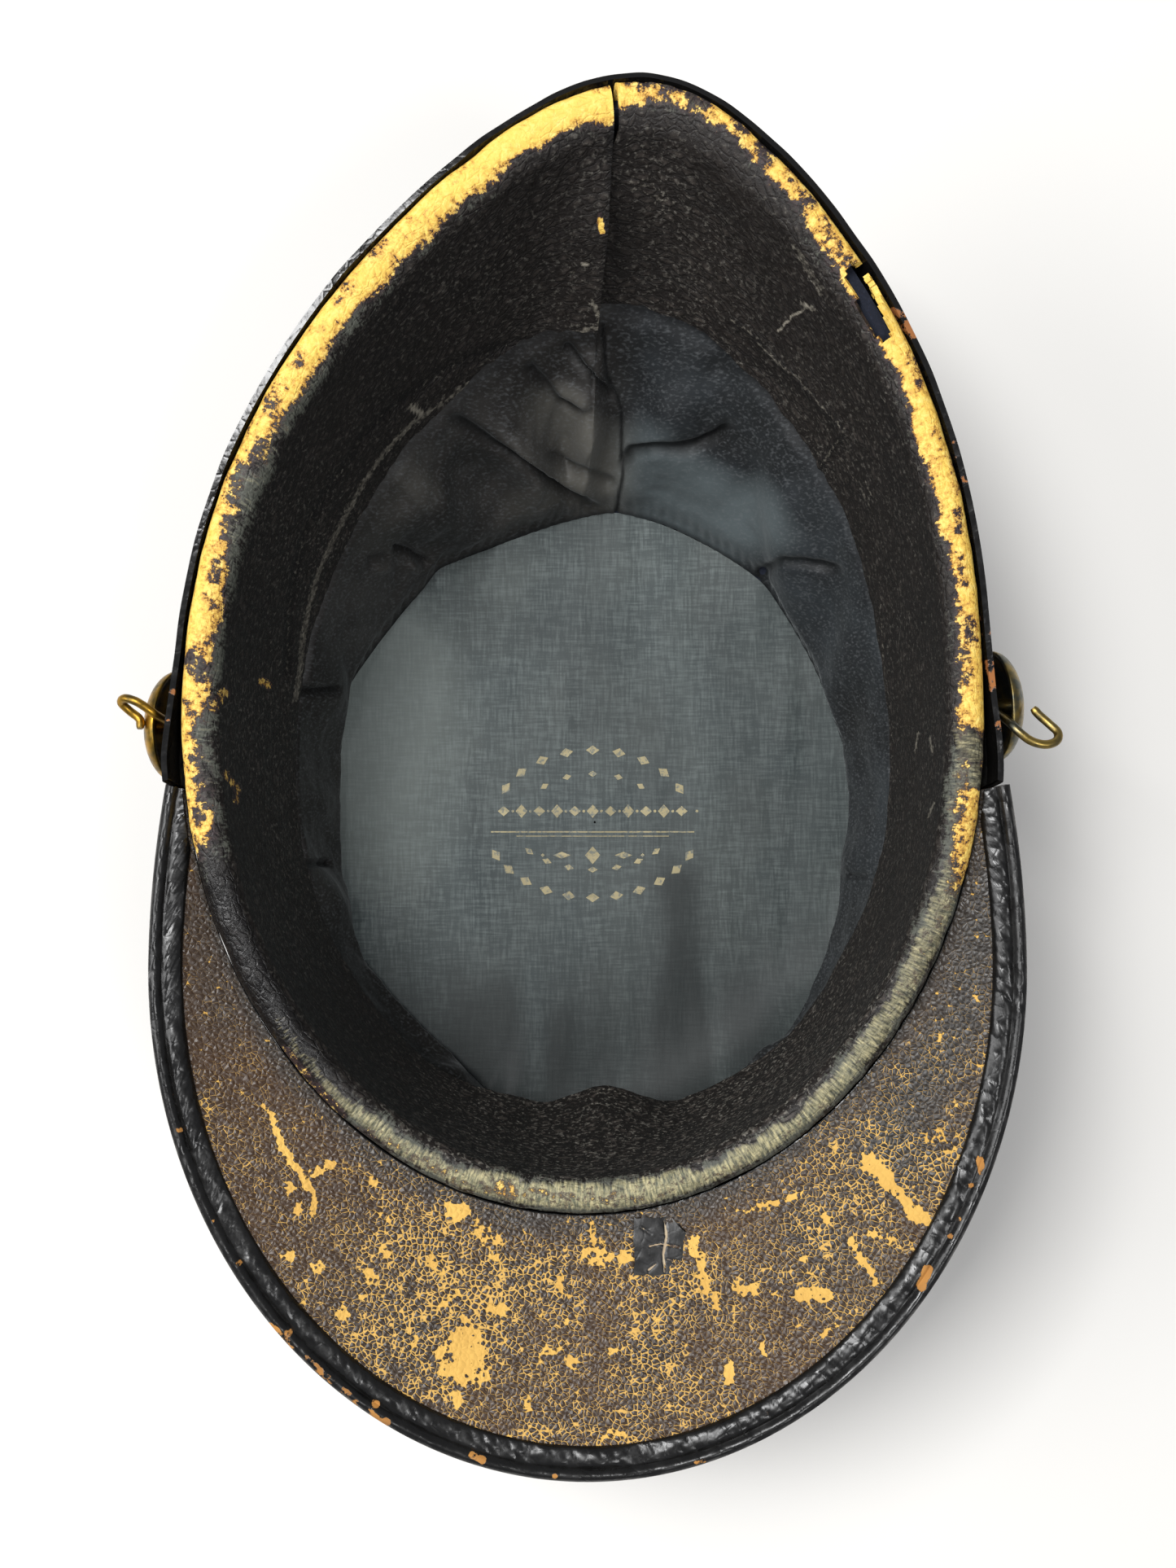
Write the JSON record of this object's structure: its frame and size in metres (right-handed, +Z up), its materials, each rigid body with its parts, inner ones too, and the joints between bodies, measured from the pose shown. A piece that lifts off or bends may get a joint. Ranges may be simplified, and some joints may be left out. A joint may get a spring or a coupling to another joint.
{
  "type": "military cap",
  "caption": "Chasseur-pattern forage cap lying on its crown, with a curved visor, a sweatband split at the back, satin lining and brass side bosses with wire hooks.",
  "frame": {"origin": "middle of the crown's flat outer face, on which the cap rests", "axes": "+Z up through the opening, -Y towards the visor, +Y towards the back of the cap, +X to the right with the visor nearest"},
  "size_m": [0.1813, 0.2653, 0.1],
  "materials": {
    "wool_cloth": "napped navy wool broadcloth",
    "patent_leather": "black varnish, chipped to tan",
    "brown_leather": "grained, worn and crackled",
    "sweat_leather": "near black, worn to yellow tan on the rim",
    "black_satin": "soft satin with folds",
    "slate_cotton": "polished plain weave",
    "brass": "aged, dull olive with bright edges"
  },
  "bodies": {
    "root": {"crown_top": "wool_cloth", "crown_welt": "wool_cloth", "cap_body": "wool_cloth", "base_band": "patent_leather", "visor": "patent_leather", "visor_binding": "patent_leather", "size_patch": "patent_leather", "visor_lining": "brown_leather", "sweatband": "sweat_leather", "lining_side": "black_satin", "lining_tip": "slate_cotton", "left_boss": "brass", "right_boss": "brass"}
  },
  "joints": []
}
